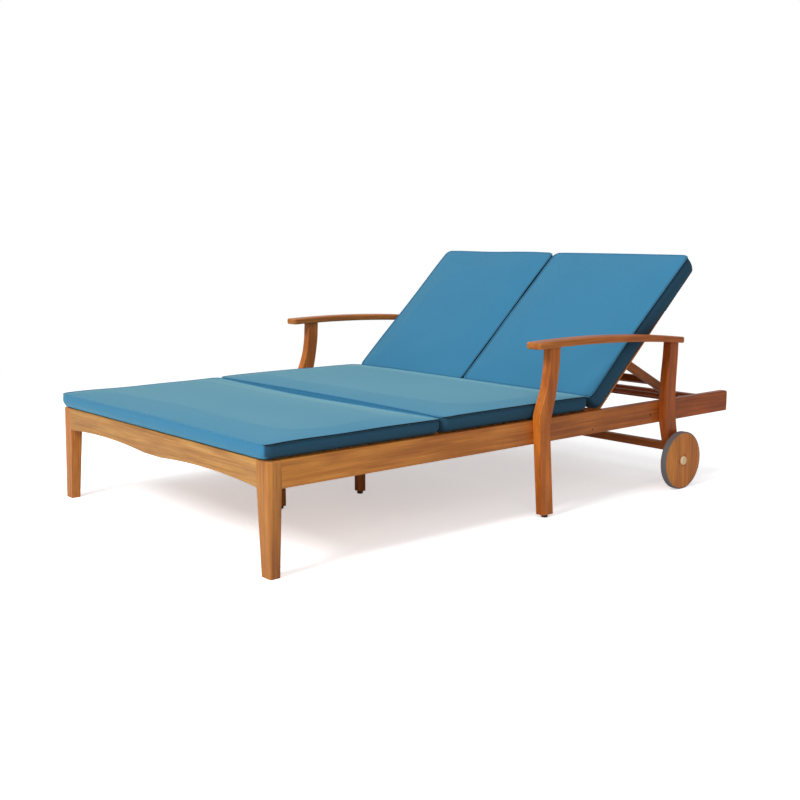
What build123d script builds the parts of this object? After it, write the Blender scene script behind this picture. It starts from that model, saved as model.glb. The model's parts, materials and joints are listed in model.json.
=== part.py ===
from build123d import *
import math
import os

# Double chaise lounger. Lengths are in millimetres and angles in degrees.
# X is the width, Y runs from the foot end to the head end, Z is up.
# The origin is on the floor, below the middle of the bed. Right is +X.

# Bed frame
bed_length = 2000.0
bed_width = 1210.0
rail_top = 304.0
rail_height = 73.0
rail_thickness = 25.0
rail_end_radius = 10.0
edge_radius = 2.5
hinge_from_head = 701.0

# Foot apron: a board whose lower edge has two shallow arches beside a flat middle
apron_thickness = 25.0
apron_arch_rise = 11.0
apron_flat = 100.0

# Front legs
front_leg_width = 57.0
front_leg_depth = 38.0
front_leg_foot_width = 41.0
front_leg_foot_depth = 29.0
front_leg_top_round = 19.0
front_leg_foot_round = 3.0
foot_end_top_round = 6.0

# Centre beam, its legs and the glides
beam_width = 30.0
centre_leg_depth = 25.0
centre_leg_place_shares = [0.343, 0.593]
glide_radius = 10.0
glide_height = 10.0

# Seat slats and their ledgers
slat_width = 37.0
slat_thickness = 14.0
slat_gap = 15.0
slat_proud = 4.0
slat_end_gap = 2.0
ledger_width = 20.0
ledger_height = 22.0

# Arm legs: outline shares are (across in leg widths, up in leg heights)
arm_leg_width = 46.0
arm_leg_thickness = 31.0
knee_dowel_share = 0.48
hip_dowel_share = 0.58
arm_front_leg_before_hinge = 293.5
axle_behind_hinge = 355.0
knee_front_shares = [
    (-0.93, 0.50), (-1.01, 0.575), (-0.80, 0.655),
    (-0.34, 0.765), (-0.11, 0.88), (0.0, 1.06),
]
knee_rear_shares = [
    (0.12, 0.44), (0.09, 0.53), (0.17, 0.59), (0.38, 0.655),
    (0.64, 0.755), (0.84, 0.87), (0.96, 1.06),
]
hip_front_shares = [
    (-1.11, 0.244), (-1.35, 0.36), (-1.38, 0.54),
    (-1.30, 0.73), (-1.15, 0.88), (-1.06, 1.04),
]
hip_rear_shares = [
    (0.065, 0.254), (-0.12, 0.37), (-0.24, 0.56),
    (-0.215, 0.72), (-0.13, 0.88), (-0.10, 1.04),
]

# Armrests
arm_width = 56.0
arm_overhang = 17.0
arm_front_reach = 72.5
arm_rear_reach = 7.0
arm_front_top = 546.0
arm_middle_top = 547.5
arm_rear_top = 522.0
arm_front_bottom = 525.0
arm_middle_bottom = 525.0
arm_rear_bottom = 501.0
arm_corner_radius = 9.0
arm_edge_radius = 5.5
dowel_radius = 5.0
dowel_length = 40.0
dowel_depth_in_arm = 14.0

# Wheels
wheel_radius = 99.0
wheel_width = 21.0
wheel_gap = 10.0
tyre_thickness = 4.0
tyre_crown = 1.5
rim_round = 2.0
wheel_recess_radius = 21.0
wheel_recess_depth = 1.5
bush_radius = 9.0
axle_radius = 5.0
axle_head_radius = 9.0
axle_head_height = 6.0
spacer_radius = 11.0
cap_radius = 15.0
cap_height = 6.0
cap_round_share = 0.7
cap_dimple_radius = 5.0
cap_dimple_depth = 1.5

# Stretcher between the rear arm legs
stretcher_height = 28.0
stretcher_thickness = 25.0
stretcher_above_axle = 44.0

# Backrest frames
back_length = 655.0
back_thickness = 20.0
back_side_gap = 4.0
back_rest_angle = 42.5
back_upright_angle = 63.0
back_stop_angles = [30.0, 42.5, 53.0, 63.0]
stile_width = 35.0
back_rail_width = 30.0
back_slat_thickness = 12.0
back_slat_count = 11
back_bottom_share = 0.8
hinge_depth = 12.0
hinge_pin_radius = 4.0
hinge_pin_in_rail = 15.0
hinge_pin_in_stile = 25.0

# Props
prop_from_hinge = 240.0
prop_below_hinge = 15.5
strut_length = 357.0
strut_width = 28.0
strut_thickness = 20.0
prop_turn_per_back_turn = 1.56
prop_crossbar_share = 0.54
prop_crossbar_thickness = 20.0
foot_bar_radius = 8.0
foot_bar_end_gap = 5.0
foot_bar_level = 286.5
cleat_thickness = 15.0
cleat_length = 60.0
prop_side_gap = 0.5
pivot_radius = 3.0
pivot_head_radius = 6.5
pivot_head_height = 4.0

# Racks for the foot bars
rack_width = 25.0
rack_height = 32.0
rack_end = 24.0
notch_depth = 5.0
rack_path_steps = 6
rack_path_low_share = 0.4
rack_path_high_share = 1.1

# Rear crossbar
crossbar_height = 36.0
crossbar_thickness = 25.0

# Bolts through the rails into the arm legs
bolt_radius = 4.0
bolt_head_radius = 6.5
bolt_head_height = 5.0
bolt_in_leg = 20.0
bolt_spacing = 24.0
bolt_above_rail_bottom = 19.0
knee_bolt_share = 0.4
hip_bolt_share = 0.74

# Cushions
cushion_half_width = 600.0
foot_cushion_side_height = 40.0
mid_cushion_side_height = 45.0
back_cushion_side_height = 58.0
cushion_crown = 14.0
cushion_corner = 16.0
cushion_draw_in = 4.0
foot_cushion_length = 590.0
cushion_gap = 6.0
mid_cushion_from_hinge = 70.0
back_cushion_length = 661.0
back_cushion_start = 5.0
back_cushion_gap = 6.0
back_cushion_arm_gap = 0.6
side_level_shares = [(0.0, 0.10), (0.18, 0.0), (0.82, 0.0), (1.0, 0.10)]
crown_level_shares = [(0.55, 0.10), (0.88, 0.24), (1.0, 0.38)]
crown_corner_share = 0.15
hood_length = 187.0
fabric_thickness = 2.0
fabric_slack = 0.4

# Clearances
running_fit = 0.05
soft_gap = 0.3
side_play = 0.3
path_clearance = 0.4
overrun = 5.0

# Places that follow from the sizes above
y_foot = -bed_length / 2
y_head = bed_length / 2
rail_outer = bed_width / 2
rail_inner = rail_outer - rail_thickness
rail_bottom = rail_top - rail_height
slat_top = rail_top + slat_proud
slat_bottom = slat_top - slat_thickness
hinge_y = y_head - hinge_from_head
hinge_z = slat_top - hinge_depth
back_front = hinge_depth
back_rear = hinge_depth - back_thickness
arm_outer = rail_outer + arm_leg_thickness
armrest_outer = arm_outer + arm_overhang
armrest_inner = armrest_outer - arm_width
arm_front_leg_y = hinge_y - arm_front_leg_before_hinge
axle_y = hinge_y + axle_behind_hinge
axle_z = wheel_radius
arm_front_y = arm_front_leg_y - arm_front_reach
arm_rear_y = axle_y + arm_rear_reach
wheel_inner = arm_outer + wheel_gap
wheel_outer = wheel_inner + wheel_width
leg_front_inner = rail_outer - front_leg_width
beam_side = beam_width / 2
back_outer = rail_inner - back_side_gap
back_inner = beam_side + back_side_gap
back_middle = (back_outer + back_inner) / 2
back_bottom_start = back_thickness * back_bottom_share
back_top_start = back_length - back_rail_width
cleat_outer = back_outer - stile_width
cleat_face = cleat_outer - cleat_thickness
strut_outer = cleat_face - prop_side_gap
strut_inner = strut_outer - strut_thickness
hood_rear = back_rear - fabric_slack - fabric_thickness
crossbar_top = hinge_z + hood_rear - path_clearance
crossbar_front = hinge_y + back_length - crossbar_thickness
foot_cushion_end = y_foot + foot_cushion_length
arc_middle_share = 1 - math.sqrt(0.5)


def block(x0, x1, y0, y1, z0, z1):
    """A box between two corners."""
    middle = ((x0 + x1) / 2, (y0 + y1) / 2, (z0 + z1) / 2)
    return Pos(*middle) * Box(abs(x1 - x0), abs(y1 - y0), abs(z1 - z0))


def eased(solid, axis, radius=edge_radius):
    """The solid with the edges that run along one axis rounded."""
    return fillet(solid.edges().filter_by(axis), radius)


def rod(x0, x1, y, z, radius):
    """A cylinder along X."""
    middle = ((x0 + x1) / 2, y, z)
    return Pos(*middle) * Rot(0, 90, 0) * Cylinder(radius, abs(x1 - x0))


def side_board(face, x0, x1):
    """A board cut to a side outline, given in (Y, Z), between two widths."""
    return extrude(Plane.YZ.offset(x0) * face, amount=x1 - x0)


def mirrored(solid):
    """The same piece on the left side."""
    return mirror(solid, about=Plane.YZ)


def about_back_middle(solid):
    """The same piece at the inner stile of the right backrest."""
    return mirror(solid, about=Plane.YZ.offset(back_middle))


def raised(solid):
    """A backrest piece, modelled lying flat, turned up to the rest angle."""
    return solid.rotate(Axis((0, hinge_y, hinge_z), (1, 0, 0)), back_rest_angle)


def on_back(along, across, angle):
    """The (Y, Z) of a point given along and across the backrest, at a back angle."""
    turn = math.radians(angle)
    y = hinge_y + along * math.cos(turn) - across * math.sin(turn)
    z = hinge_z + along * math.sin(turn) + across * math.cos(turn)
    return (y, z)


pivot_y, pivot_z = on_back(prop_from_hinge, -prop_below_hinge, back_rest_angle)
strut_rest_lean = math.degrees(math.asin((pivot_z - foot_bar_level) / strut_length))


def foot_point(angle):
    """The (Y, Z) of the foot bar at a back angle, with the prop geared to the back."""
    y, z = on_back(prop_from_hinge, -prop_below_hinge, angle)
    lean = strut_rest_lean + (prop_turn_per_back_turn - 1) * (angle - back_rest_angle)
    lean = math.radians(lean)
    return (y + strut_length * math.cos(lean), z - strut_length * math.sin(lean))


def swung(solid):
    """A prop piece, modelled pointing to the head from its pivot, leaned down."""
    return solid.rotate(Axis((0, pivot_y, pivot_z), (1, 0, 0)), -strut_rest_lean)


def side_rail():
    """Right rail: its foot end butts on the front leg, its head end is free and rounded."""
    y0 = y_foot + front_leg_depth
    rail = block(rail_inner, rail_outer, y0, y_head, rail_bottom, rail_top)
    ends = rail.edges().filter_by(Axis.X).group_by(Axis.Y)[-1]
    rail = fillet(ends.sort_by(Axis.Z)[-1], rail_end_radius)
    corner = rail.edges().filter_by(Axis.X).group_by(Axis.Z)[0].sort_by(Axis.Y)[-1]
    rail = fillet(corner, rail_end_radius / 2)
    rail = eased(rail, Axis.Y)
    rail -= rod(rail_inner, rail_inner + hinge_pin_in_rail, hinge_y, hinge_z, hinge_pin_radius)
    for y, z in bolt_places():
        rail -= rod(rail_inner - overrun, rail_outer + overrun, y, z, bolt_radius)
    return rail


def bolt_places():
    """The (Y, Z) of the bolts that hold both arm legs on to one rail."""
    z = rail_bottom + bolt_above_rail_bottom
    knee = arm_front_leg_y - arm_leg_width * knee_bolt_share
    hip = axle_y - arm_leg_width * hip_bolt_share
    return [(y + side * bolt_spacing / 2, z) for y in (knee, hip) for side in (-1, 1)]


def foot_apron():
    """Foot board, with its two arches cut up from the lower edge and its top front edge rounded."""
    arch_end = apron_flat / 2
    arch_middle = (arch_end + leg_front_inner) / 2
    crest = rail_bottom + apron_arch_rise
    edge = Polyline(
        (arch_end, rail_bottom),
        (-arch_end, rail_bottom),
    )
    edge += ThreePointArc(
        (-arch_end, rail_bottom),
        (-arch_middle, crest),
        (-leg_front_inner, rail_bottom),
    )
    edge += Polyline(
        (-leg_front_inner, rail_bottom),
        (-leg_front_inner, rail_top),
        (leg_front_inner, rail_top),
        (leg_front_inner, rail_bottom),
    )
    edge += ThreePointArc(
        (leg_front_inner, rail_bottom),
        (arch_middle, crest),
        (arch_end, rail_bottom),
    )
    board = extrude(Plane.XZ.offset(-y_foot) * make_face(edge), amount=-apron_thickness)
    top_edges = board.edges().filter_by(Axis.X).group_by(Axis.Z)[-1].sort_by(Axis.Y)
    board = fillet(top_edges[0], foot_end_top_round)
    return board


def front_leg_section(inner, rear, round_radius, z):
    """One level of the front leg: a rectangle with its outer front corner rounded."""
    outer = rail_outer
    cut = round_radius * arc_middle_share
    edge = Polyline(
        (outer, y_foot + round_radius),
        (outer, rear),
        (inner, rear),
        (inner, y_foot),
        (outer - round_radius, y_foot),
    )
    edge += ThreePointArc(
        (outer - round_radius, y_foot),
        (outer - cut, y_foot + cut),
        (outer, y_foot + round_radius),
    )
    return Pos(0, 0, z) * make_face(edge)


def front_leg():
    """Right front leg: square beside the rail, then tapered on its two inner sides."""
    fade = (front_leg_top_round - front_leg_foot_round) * rail_bottom / rail_top
    rear = y_foot + front_leg_depth
    foot_inner = rail_outer - front_leg_foot_width
    foot_rear = y_foot + front_leg_foot_depth
    sections = [
        front_leg_section(foot_inner, foot_rear, front_leg_foot_round, 0),
        front_leg_section(leg_front_inner, rear, front_leg_foot_round + fade, rail_bottom),
        front_leg_section(leg_front_inner, rear, front_leg_top_round, rail_top),
    ]
    leg = loft(sections, ruled=True)
    rim = leg.faces().sort_by(Axis.Z)[-1].edges().group_by(Axis.Y)[0]
    return fillet(rim, foot_end_top_round)


def arm_top_edge():
    """The armrest's long arc from its front end to its rear end, along the top."""
    middle = (arm_front_y + arm_rear_y) / 2
    return ThreePointArc((arm_front_y, arm_front_top), (middle, arm_middle_top), (arm_rear_y, arm_rear_top))


def arm_bottom_edge():
    """The arc along the armrest's underside, back to its front end."""
    start = (arm_rear_y, arm_rear_bottom)
    middle = ((arm_front_y + arm_rear_y) / 2, arm_middle_bottom)
    return ThreePointArc(start, middle, (arm_front_y, arm_front_bottom))


def plain_arm():
    """The right armrest before its dowel holes."""
    edge = arm_top_edge() + Line((arm_rear_y, arm_rear_top), (arm_rear_y, arm_rear_bottom))
    edge += arm_bottom_edge() + Line((arm_front_y, arm_front_bottom), (arm_front_y, arm_front_top))
    arm = side_board(make_face(edge), armrest_inner, armrest_outer)
    arm = fillet(arm.edges().filter_by(Axis.Z), arm_corner_radius)
    rims = arm.faces().sort_by(Axis.Z)[-1].edges() + arm.faces().sort_by(Axis.Z)[0].edges()
    return fillet(rims, arm_edge_radius)


def arm_leg_tops():
    """The (Y, Z) where the dowels cross from each arm leg into the armrest."""
    knee = arm_front_leg_y + arm_leg_width * knee_dowel_share
    hip = axle_y - arm_leg_width * hip_dowel_share
    return [(knee, arm_front_bottom), (hip, arm_rear_bottom)]


def arm_dowel_rods(radius):
    """The upright dowels between the right armrest and its two legs."""
    rods = []
    for y, z in arm_leg_tops():
        middle = z + dowel_depth_in_arm - dowel_length / 2
        rods.append(Pos(arm_outer - arm_leg_thickness / 2, y, middle) * Cylinder(radius, dowel_length))
    return rods


def armrest():
    """Right armrest with its dowel holes."""
    arm = plain_arm()
    for dowel in arm_dowel_rods(dowel_radius):
        arm -= dowel
    return arm


def edge_points(shares, y, z, height):
    """Outline points from shares of the leg's width and height."""
    return [(y + across * arm_leg_width, z + up * height) for across, up in shares]


def smooth_side(before, points):
    """A curve through the points that goes on from the straight line before them."""
    start = (points[0][0] - before[0], points[0][1] - before[1])
    end = (points[-1][0] - points[-2][0], points[-1][1] - points[-2][1])
    return Spline(*points, tangents=[start, end])


def finished_arm_leg(face):
    """An arm leg from its side outline: edges eased, top cut to the armrest, holes made."""
    leg = side_board(face, rail_outer, arm_outer)
    long_edges = leg.edges().filter_by(Axis.X, reverse=True).sort_by(SortBy.LENGTH)[-4:]
    leg = fillet(long_edges, edge_radius)
    leg = (leg - plain_arm()).solids().sort_by(Axis.Z)[0]
    for dowel in arm_dowel_rods(dowel_radius):
        leg -= dowel
    for y, z in bolt_places():
        leg -= rod(rail_outer, rail_outer + bolt_in_leg, y, z, bolt_radius)
    return leg


def arm_front_leg():
    """Right front arm leg: straight below the rail, bent rearwards above it."""
    foot = arm_front_leg_y
    height = arm_front_bottom - glide_height
    front = edge_points(knee_front_shares, foot, glide_height, height)
    rear = edge_points(knee_rear_shares, foot, glide_height, height)
    toe = (foot - arm_leg_width / 2, glide_height)
    heel = (foot + arm_leg_width / 2, glide_height)
    edge = Line(toe, front[0]) + smooth_side(toe, front) + Line(front[-1], rear[-1])
    edge += smooth_side(heel, rear) + Line(rear[0], heel) + Line(heel, toe)
    return finished_arm_leg(make_face(edge))


def arm_rear_leg():
    """Right rear arm leg: its foot swings rearwards and is rounded about the axle."""
    height = arm_rear_bottom - axle_z
    front = edge_points(hip_front_shares, axle_y, axle_z, height)
    rear = edge_points(hip_rear_shares, axle_y, axle_z, height)
    radius = arm_leg_width / 2
    middle_y = (front[0][0] + rear[0][0]) / 2 - axle_y
    middle_z = (front[0][1] + rear[0][1]) / 2 - axle_z
    reach = math.hypot(middle_y, middle_z)
    up_y = middle_y / reach
    up_z = middle_z / reach
    left = (axle_y - up_z * radius, axle_z + up_y * radius)
    right = (axle_y + up_z * radius, axle_z - up_y * radius)
    tip = (axle_y - up_y * radius, axle_z - up_z * radius)
    edge = Line(left, front[0]) + smooth_side(left, front) + Line(front[-1], rear[-1])
    edge += smooth_side(right, rear) + Line(rear[0], right) + ThreePointArc(right, tip, left)
    leg = finished_arm_leg(make_face(edge))
    leg -= rod(rail_outer - overrun, arm_outer + overrun, axle_y, axle_z, axle_radius)
    return leg


def leg_bolt():
    """One bolt from inside the rail, at the place of no bolt in particular."""
    shank = rod(rail_inner, rail_outer + bolt_in_leg, 0, 0, bolt_radius)
    corners = RegularPolygon(bolt_head_radius, 6)
    head = extrude(Plane.YZ.offset(rail_inner - bolt_head_height) * corners, amount=bolt_head_height)
    return shank + head


def leg_bolts():
    """All bolts of the four arm legs."""
    right = [Pos(0, y, z) * leg_bolt() for y, z in bolt_places()]
    return Compound(right + [mirrored(bolt) for bolt in right])


def centre_beam():
    """Middle beam: low under the seat slats, as high as the rails behind them."""
    step = seat_slat_places()[-1] + slat_width / 2 + path_clearance
    start = y_foot + apron_thickness
    edge = Polyline(
        (start, rail_bottom),
        (crossbar_front, rail_bottom),
        (crossbar_front, rail_top),
        (step, rail_top),
        (step, slat_bottom),
        (start, slat_bottom),
        close=True,
    )
    beam = side_board(make_face(edge), -beam_side, beam_side)
    beam -= rod(-beam_side - overrun, beam_side + overrun, hinge_y, hinge_z, hinge_pin_radius)
    return beam


def centre_leg(share):
    """A small leg under the centre beam, at a share of the seat's length."""
    y = y_foot + share * (hinge_y - y_foot)
    half = centre_leg_depth / 2
    return eased(block(-beam_side, beam_side, y - half, y + half, glide_height, rail_bottom), Axis.Z)


def leg_glides():
    """Round glides under the centre legs and the front arm legs."""
    x = rail_outer + arm_leg_thickness / 2
    places = [(-x, arm_front_leg_y), (x, arm_front_leg_y)]
    for share in centre_leg_place_shares:
        places.append((0, y_foot + share * (hinge_y - y_foot)))
    return Compound([Pos(x, y, glide_height / 2) * glide() for x, y in places])


def glide():
    """One glide, with its lower rim rounded."""
    disc = Cylinder(glide_radius, glide_height)
    return fillet(disc.edges().sort_by(Axis.Z)[0], glide_height / 4)


def rear_crossbar():
    """Crossbar between the rails, just below the flat backrests."""
    y1 = crossbar_front + crossbar_thickness
    bar = block(-rail_inner, rail_inner, crossbar_front, y1, crossbar_top - crossbar_height, crossbar_top)
    return eased(bar, Axis.X)


def wheel_stretcher():
    """Crossbar between the rear arm legs, just above the axles."""
    height = arm_rear_bottom - axle_z
    front_across, front_up = hip_front_shares[0]
    rear_across, rear_up = hip_rear_shares[0]
    lean = (front_across + rear_across) / (front_up + rear_up)
    y = axle_y + lean * arm_leg_width * stretcher_above_axle / height
    z = axle_z + stretcher_above_axle
    half = stretcher_thickness / 2
    rise = stretcher_height / 2
    return eased(block(-rail_outer, rail_outer, y - half, y + half, z - rise, z + rise), Axis.X)


def slat_ledgers():
    """Strips inside the rails that carry the ends of the seat slats."""
    y0 = y_foot + front_leg_depth
    y1 = seat_slat_places()[-1] + slat_width / 2
    strip = block(rail_inner - ledger_width, rail_inner, y0, y1, slat_bottom - ledger_height, slat_bottom)
    return Compound([strip, mirrored(strip)])


def seat_slat_places():
    """The middles of the seat slats, from the apron to the backrests."""
    pitch = slat_width + slat_gap
    first = y_foot + front_leg_depth + slat_width / 2
    last = hinge_y - slat_width
    count = int((last - first) / pitch) + 1
    return [first + i * pitch for i in range(count)]


def seat_slats():
    """Full-width slats, resting on the ledgers and the centre beam."""
    half = rail_inner - slat_end_gap
    slat = block(-half, half, -slat_width / 2, slat_width / 2, slat_bottom, slat_top)
    slat = eased(slat, Axis.X)
    return Compound([Pos(0, y, 0) * slat for y in seat_slat_places()])


def rack(x0, x1):
    """One notched strip. Its top follows the foot bar's path, just below the bar.

    Where it reaches the rear crossbar or a leg bolt, it is cut to clear them.
    """
    drop = foot_bar_radius + path_clearance
    notches = [foot_point(angle) for angle in back_stop_angles]
    ends = [y for y, z in notches]
    y0 = min(ends) - rack_end
    y1 = max(ends) + rack_end
    top = foot_bar_level - drop
    outline = Pos((y0 + y1) / 2, top - rack_height / 2) * Rectangle(y1 - y0, rack_height)
    lowest = back_stop_angles[0] * rack_path_low_share
    highest = back_upright_angle * rack_path_high_share
    path = []
    for i in range(rack_path_steps + 1):
        y, z = foot_point(highest + (lowest - highest) * i / rack_path_steps)
        path.append((y, z - drop))
    above = top + drop
    lid = Spline(*path) + Polyline(path[-1], (path[-1][0], above), (path[0][0], above), path[0])
    outline -= make_face(lid)
    for y, z in notches:
        outline -= Pos(y, z - notch_depth) * Circle(drop)
    strip = side_board(outline, x0, x1)
    bar_start = crossbar_front - path_clearance
    bar_end = crossbar_front + crossbar_thickness + path_clearance
    bar_bottom = crossbar_top - crossbar_height - path_clearance
    strip -= block(x0, x1, bar_start, bar_end, bar_bottom, crossbar_top + path_clearance)
    for y, z in bolt_places():
        strip -= rod(x0, x1, y, z, bolt_head_radius + path_clearance)
    return strip


def prop_racks():
    """Racks inside both rails and on both sides of the centre beam."""
    right = [rack(rail_inner - rack_width, rail_inner), rack(beam_side, beam_side + rack_width)]
    return Compound(right + [mirrored(strip) for strip in right])


def hinge_pins():
    """Pins that the stiles turn on: one in each rail, one through the centre beam."""
    outer_end = back_outer - hinge_pin_in_stile
    outer = rod(outer_end, rail_inner + hinge_pin_in_rail, hinge_y, hinge_z, hinge_pin_radius)
    reach = back_inner + hinge_pin_in_stile
    middle = rod(-reach, reach, hinge_y, hinge_z, hinge_pin_radius)
    return Compound([outer, middle, mirrored(outer)])


def stile():
    """Right outer stile, lying flat: a board rounded at its hinge end."""
    radius = back_thickness / 2
    x0 = back_outer - stile_width
    middle = hinge_z + back_front - radius
    board = block(x0, back_outer, hinge_y, hinge_y + back_length, middle - radius, middle + radius)
    top_corners = board.edges().filter_by(Axis.Z).group_by(Axis.Y)[-1]
    board = fillet(top_corners, edge_radius)
    board += rod(x0, back_outer, hinge_y, middle, radius)
    bore = hinge_pin_radius + running_fit
    board -= rod(back_outer - hinge_pin_in_stile - overrun, back_outer, hinge_y, hinge_z, bore)
    return board


def back_rail(start):
    """A cross rail between the stiles of the right backrest, lying flat."""
    x0 = back_inner + stile_width
    x1 = back_outer - stile_width
    y0 = hinge_y + start
    y1 = y0 + back_rail_width
    return block(x0, x1, y0, y1, hinge_z + back_rear, hinge_z + back_front)


def back_slats():
    """Slats between the stiles, evenly spaced from the bottom rail to the top rail."""
    x0 = back_inner + stile_width
    x1 = back_outer - stile_width
    first = back_bottom_start + back_rail_width
    room = back_top_start - first
    gap = (room - back_slat_count * slat_width) / (back_slat_count + 1)
    slats = []
    for i in range(back_slat_count):
        y0 = hinge_y + first + gap + i * (slat_width + gap)
        top = hinge_z + back_front
        slat = block(x0, x1, y0, y0 + slat_width, top - back_slat_thickness, top)
        slats.append(raised(eased(slat, Axis.X)))
    return Compound(slats)


def prop_cleat():
    """Right outer cleat, lying flat: a block under the slats that holds the pivot bolt."""
    y = hinge_y + prop_from_hinge
    top = hinge_z + back_front - back_slat_thickness
    bottom = hinge_z - prop_below_hinge - strut_width / 2
    half = cleat_length / 2
    cleat = block(cleat_face, cleat_outer, y - half, y + half, bottom, top)
    low = cleat.edges().filter_by(Axis.X).group_by(Axis.Z)[0]
    cleat = fillet(low, strut_width / 4)
    cleat -= rod(cleat_face - overrun, cleat_outer + overrun, y, hinge_z - prop_below_hinge, pivot_radius)
    return raised(cleat)


def prop_pivot():
    """Right outer pivot bolt, with its head inside the strut and its nut on the cleat."""
    y = pivot_y
    z = pivot_z
    head_face = strut_inner - prop_side_gap
    shank = rod(head_face, cleat_outer, y, z, pivot_radius)
    head = rod(head_face - pivot_head_height, head_face, y, z, pivot_head_radius)
    nut = RegularPolygon(pivot_head_radius, 6)
    nut = extrude(Plane.YZ.offset(cleat_outer) * Pos(y, z) * nut, amount=pivot_head_height)
    return shank + head + nut


def prop_strut():
    """Right outer strut: round at both ends, bored for its pivot and the foot bar."""
    half = strut_width / 2
    y1 = pivot_y + strut_length
    strut = block(strut_inner, strut_outer, pivot_y, y1, pivot_z - half, pivot_z + half)
    strut = eased(strut, Axis.Y)
    strut += rod(strut_inner, strut_outer, pivot_y, pivot_z, half)
    strut += rod(strut_inner, strut_outer, y1, pivot_z, half)
    strut -= rod(strut_inner - overrun, strut_outer + overrun, pivot_y, pivot_z, pivot_radius + running_fit)
    strut -= rod(strut_inner - overrun, strut_outer + overrun, y1, pivot_z, foot_bar_radius)
    return swung(strut)


def prop_crossbar():
    """Bar between the two struts of the right prop."""
    x0 = 2 * back_middle - strut_inner
    y = pivot_y + strut_length * prop_crossbar_share
    half = prop_crossbar_thickness / 2
    rise = strut_width / 2 - edge_radius / 2
    bar = block(x0, strut_inner, y - half, y + half, pivot_z - rise, pivot_z + rise)
    return swung(eased(bar, Axis.X))


def prop_foot_bar():
    """Round bar through the feet of the right prop's struts, out over the racks."""
    y, z = foot_point(back_rest_angle)
    return rod(beam_side + foot_bar_end_gap, rail_inner - foot_bar_end_gap, y, z, foot_bar_radius)


def ring(x0, x1, outer, inner):
    """A tube about the axle."""
    return rod(x0, x1, axle_y, axle_z, outer) - rod(x0 - overrun, x1 + overrun, axle_y, axle_z, inner)


def wheel_disc():
    """Wooden disc with a shallow dish round the cap."""
    disc = ring(wheel_inner, wheel_outer, wheel_radius - tyre_thickness, bush_radius)
    floor = wheel_outer - wheel_recess_depth
    return disc - rod(floor, wheel_outer + overrun, axle_y, axle_z, wheel_recess_radius)


def wheel_tyre():
    """Rubber band round the disc, its outer corners rounded."""
    tyre = ring(wheel_inner, wheel_outer, wheel_radius, wheel_radius - tyre_thickness)
    circles = tyre.edges().filter_by(GeomType.CIRCLE).sort_by(SortBy.RADIUS)[-2:]
    return fillet(circles, rim_round)


def wheel_bush():
    """Nylon bush in the disc, running on the axle."""
    return ring(wheel_inner, wheel_outer - wheel_recess_depth, bush_radius, axle_radius + running_fit)


def axle_bolt():
    """Right axle: a bolt from inside the leg to the cap."""
    shank = rod(rail_outer, wheel_outer + cap_height / 2, axle_y, axle_z, axle_radius)
    head = rod(rail_outer - axle_head_height, rail_outer, axle_y, axle_z, axle_head_radius)
    return shank + head


def axle_spacer():
    """Spacer between the leg and the wheel."""
    return ring(arm_outer, wheel_inner - side_play, spacer_radius, axle_radius)


def axle_cap():
    """Domed cap on the axle's end, dimpled in the middle."""
    x0 = wheel_outer + side_play
    cap = rod(x0, x0 + cap_height, axle_y, axle_z, cap_radius)
    rim = cap.edges().filter_by(GeomType.CIRCLE).sort_by(Axis.X)[-1]
    cap = fillet(rim, cap_height * cap_round_share)
    x1 = x0 + cap_height
    cap -= rod(x1 - cap_dimple_depth, x1 + overrun, axle_y, axle_z, cap_dimple_radius)
    return cap - rod(x0 - overrun, wheel_outer + cap_height / 2, axle_y, axle_z, axle_radius)


def cushion_outline(width, length, corner, draw_in, z):
    """A rectangle with round corners, whose sides are drawn in between them."""
    x = width / 2
    y = length / 2
    cut = corner * arc_middle_share
    edge = ThreePointArc((-x + corner, -y), (0, -y + draw_in), (x - corner, -y))
    edge += ThreePointArc((x - corner, -y), (x - cut, -y + cut), (x, -y + corner))
    edge += ThreePointArc((x, -y + corner), (x - draw_in, 0), (x, y - corner))
    edge += ThreePointArc((x, y - corner), (x - cut, y - cut), (x - corner, y))
    edge += ThreePointArc((x - corner, y), (0, y - draw_in), (-x + corner, y))
    edge += ThreePointArc((-x + corner, y), (-x + cut, y - cut), (-x, y - corner))
    edge += ThreePointArc((-x, y - corner), (-x + draw_in, 0), (-x, -y + corner))
    edge += ThreePointArc((-x, -y + corner), (-x + cut, -y + cut), (-x + corner, -y))
    return Pos(0, 0, z) * make_face(edge)


def cushion(width, length, side_height):
    """A boxed cushion on Z = 0: flat below, straight borders, then a low crown."""
    levels = [(up * side_height, inset * side_height, cushion_corner) for up, inset in side_level_shares]
    for up, inset in crown_level_shares:
        step = inset * min(width, length)
        corner = cushion_corner + step * crown_corner_share
        levels.append((side_height + up * cushion_crown, step, corner))
    sections = []
    for z, step, corner in levels:
        outline = cushion_outline(width - 2 * step, length - 2 * step, corner, cushion_draw_in, z)
        sections.append(outline)
    return loft(sections, ruled=True)


def seat_cushion(y0, y1, side_height):
    """A full-width cushion that lies on the seat slats."""
    pad = cushion(2 * cushion_half_width, y1 - y0, side_height)
    return Pos(0, (y0 + y1) / 2, slat_top + soft_gap) * pad


def foot_cushion():
    """Cushion from the foot end to the mid cushion."""
    return seat_cushion(y_foot, foot_cushion_end, foot_cushion_side_height)


def mid_cushion():
    """Cushion from the foot cushion to the back cushions."""
    y0 = foot_cushion_end + cushion_gap
    return seat_cushion(y0, hinge_y - mid_cushion_from_hinge, mid_cushion_side_height)


def back_cushion():
    """Right back cushion on the front of its backrest."""
    x0 = back_cushion_gap / 2
    x1 = armrest_inner - back_cushion_arm_gap
    pad = cushion(x1 - x0, back_cushion_length, back_cushion_side_height)
    y = hinge_y + back_cushion_start + back_cushion_length / 2
    return raised(Pos((x0 + x1) / 2, y, slat_top + soft_gap) * pad)


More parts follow.
